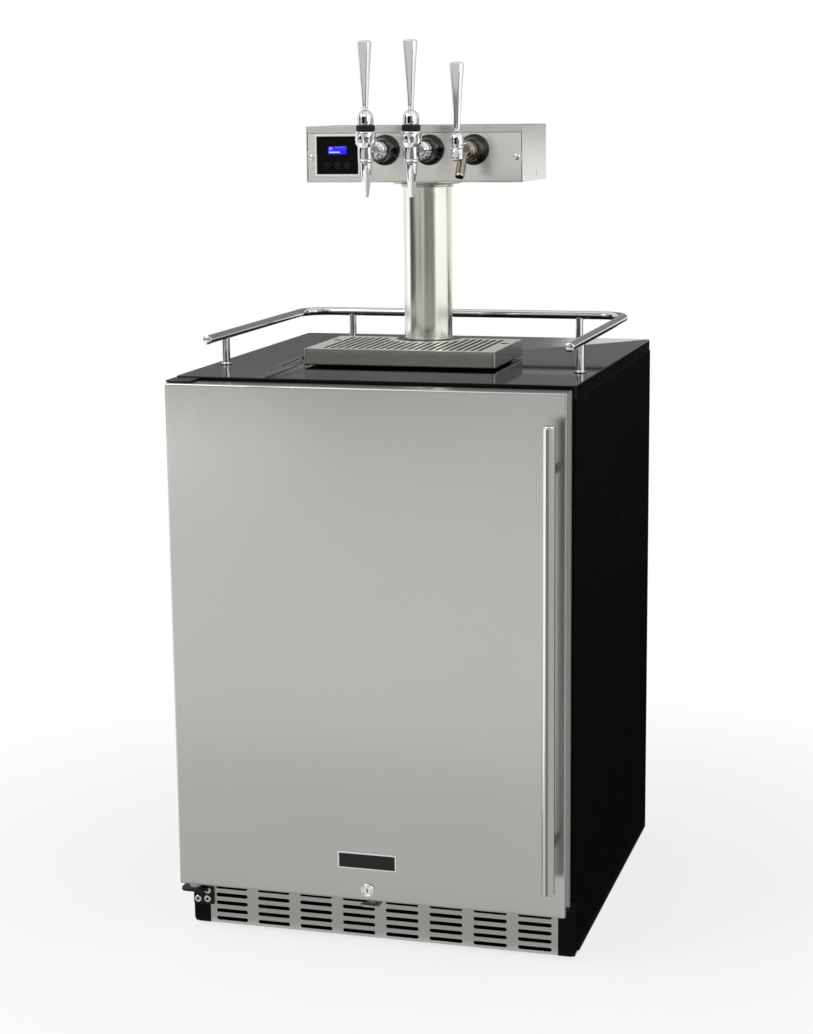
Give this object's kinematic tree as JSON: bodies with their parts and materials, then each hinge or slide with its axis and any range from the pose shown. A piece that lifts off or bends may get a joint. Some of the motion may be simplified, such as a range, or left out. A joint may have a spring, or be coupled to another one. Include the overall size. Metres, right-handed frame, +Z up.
{
  "type": "nitro cold brew dispenser",
  "caption": "Undercounter cold brew cabinet with hinged door, guard rail, drip tray and a column head with display, stout taps and a plain tap.",
  "frame": {"origin": "on the floor under the middle of the outer box, level with the undersides of the levelling feet", "axes": "+Z up, the door and taps face -Y, +X is the handle side seen from the front"},
  "size_m": [0.605, 0.7286, 1.3482],
  "materials": {
    "side_paint": "smooth satin black paint",
    "top_gloss": "deep gloss black",
    "white_liner": "smooth white moulded liner",
    "grille_steel": "brushed along its length",
    "hinge_paint": "satin black paint",
    "zinc_steel": "dull zinc and aluminium",
    "compressor_paint": "satin black paint",
    "black_plastic": "fine-grained black plastic",
    "rail_steel": "polished stainless tube",
    "tray_steel": "brushed stainless sheet",
    "column_steel": "brushed round the tube",
    "head_steel": "brushed stainless sheet",
    "bezel_plastic": "pale smooth plastic",
    "display_gloss": "black glossy fascia with a blue display",
    "key_plastic": "black glossy key with a thin ring",
    "tap_chrome": "mirror polished",
    "line_foam": "closed-cell foam sleeve",
    "door_steel": "brushed stainless sheet",
    "door_foam": "foamed insulation",
    "gasket_rubber": "soft grey-black magnetic seal",
    "handle_steel": "satin polished stainless tube",
    "badge_black": "bare black plate with a bright rim",
    "lock_chrome": "polished"
  },
  "bodies": {
    "cabinet": {"side_panel_left": "side_paint", "side_panel_right": "side_paint", "back_panel": "side_paint", "machine_cover": "side_paint", "base_pan": "side_paint", "top_panel": "top_gloss", "liner_tub": "white_liner", "evaporator_cover": "white_liner", "kick_grille": "grille_steel", "hinge_plate_lower": "hinge_paint", "hinge_plate_upper": "hinge_paint", "lock_keeper": "zinc_steel", "condenser": "zinc_steel", "compressor": "compressor_paint", "power_inlet": "black_plastic", "shank_flange_1": "black_plastic", "shank_flange_2": "black_plastic", "shank_flange_3": "black_plastic", "cap_ring_1": "black_plastic", "cap_ring_2": "black_plastic", "guard_rail": "rail_steel", "rail_post_1": "rail_steel", "rail_post_2": "rail_steel", "rail_post_3": "rail_steel", "rail_post_4": "rail_steel", "drip_tray": "tray_steel", "column_tube": "column_steel", "column_collar": "column_steel", "head_shell": "head_steel", "head_front_panel": "head_steel", "display_bezel": "bezel_plastic", "display_panel": "display_gloss", "tap_shank_1": "tap_chrome", "tap_shank_2": "tap_chrome", "tap_shank_3": "tap_chrome", "faucet_body_1": "tap_chrome", "faucet_body_2": "tap_chrome", "faucet_body_3": "tap_chrome", "nozzle_1": "tap_chrome", "nozzle_2": "tap_chrome", "line_trunk": "line_foam"},
    "door": {"door_skin": "door_steel", "door_core": "door_foam", "door_liner": "white_liner", "door_gasket": "gasket_rubber", "door_handle": "handle_steel", "badge_plate": "badge_black"},
    "lock_barrel": {"lock_barrel": "lock_chrome"},
    "drip_grid": {"drip_grid": "tray_steel"},
    "condenser_fan": {"condenser_fan": "black_plastic"},
    "tap_lever_1": {"tap_lever_1": "tap_chrome"},
    "display_key_1": {"display_key_1": "key_plastic"},
    "tap_lever_2": {"tap_lever_2": "tap_chrome"},
    "display_key_2": {"display_key_2": "key_plastic"},
    "tap_lever_3": {"tap_lever_3": "tap_chrome"},
    "display_key_3": {"display_key_3": "key_plastic"},
    "levelling_foot_1": {"levelling_foot_1": "black_plastic"},
    "levelling_foot_2": {"levelling_foot_2": "black_plastic"},
    "levelling_foot_3": {"levelling_foot_3": "black_plastic"},
    "levelling_foot_4": {"levelling_foot_4": "black_plastic"}
  },
  "joints": [
    {"name": "door_hinge", "type": "hinge", "parent": "cabinet", "child": "door", "pos_m": [-0.283, -0.28875, 0.47], "axis": [0, 0, -1], "range_deg": [0, 110]},
    {"name": "lock_turn", "type": "hinge", "parent": "door", "child": "lock_barrel", "pos_m": [0, -0.31075, 0.1067], "axis": [0, 1, 0], "range_deg": [0, 90]},
    {"name": "tap_lever_1_pull", "type": "hinge", "parent": "cabinet", "child": "tap_lever_1", "pos_m": [-0.0445, -0.12075, 1.2356], "axis": [1, 0, 0], "range_deg": [-12, 30]},
    {"name": "tap_lever_2_pull", "type": "hinge", "parent": "cabinet", "child": "tap_lever_2", "pos_m": [0.0255, -0.12075, 1.2356], "axis": [1, 0, 0], "range_deg": [-12, 30]},
    {"name": "tap_lever_3_pull", "type": "hinge", "parent": "cabinet", "child": "tap_lever_3", "pos_m": [0.0955, -0.12075, 1.2046], "axis": [1, 0, 0], "range_deg": [0, 35]},
    {"name": "display_key_1_press", "type": "slide", "parent": "cabinet", "child": "display_key_1", "axis": [0, 1, 0], "range_m": [0, 0.0008], "stiffness_N_per_m": 300, "springref_m": -0.001},
    {"name": "display_key_2_press", "type": "slide", "parent": "cabinet", "child": "display_key_2", "axis": [0, 1, 0], "range_m": [0, 0.0008], "stiffness_N_per_m": 300, "springref_m": -0.001},
    {"name": "display_key_3_press", "type": "slide", "parent": "cabinet", "child": "display_key_3", "axis": [0, 1, 0], "range_m": [0, 0.0008], "stiffness_N_per_m": 300, "springref_m": -0.001},
    {"name": "drip_grid_lift", "type": "slide", "parent": "cabinet", "child": "drip_grid", "axis": [0, 0, 1], "range_m": [0, 0.05]},
    {"name": "condenser_fan_spin", "type": "hinge", "parent": "cabinet", "child": "condenser_fan", "pos_m": [-0.145, 0.25725, 0.1033], "axis": [0, 1, 0], "continuous": true},
    {"name": "levelling_foot_1_turn", "type": "hinge", "parent": "cabinet", "child": "levelling_foot_1", "pos_m": [-0.2685, -0.18275, 0.003], "axis": [0, 0, 1], "continuous": true},
    {"name": "levelling_foot_2_turn", "type": "hinge", "parent": "cabinet", "child": "levelling_foot_2", "pos_m": [-0.2685, 0.31625, 0.003], "axis": [0, 0, 1], "continuous": true},
    {"name": "levelling_foot_3_turn", "type": "hinge", "parent": "cabinet", "child": "levelling_foot_3", "pos_m": [0.2685, -0.18275, 0.003], "axis": [0, 0, 1], "continuous": true},
    {"name": "levelling_foot_4_turn", "type": "hinge", "parent": "cabinet", "child": "levelling_foot_4", "pos_m": [0.2685, 0.31625, 0.003], "axis": [0, 0, 1], "continuous": true}
  ]
}
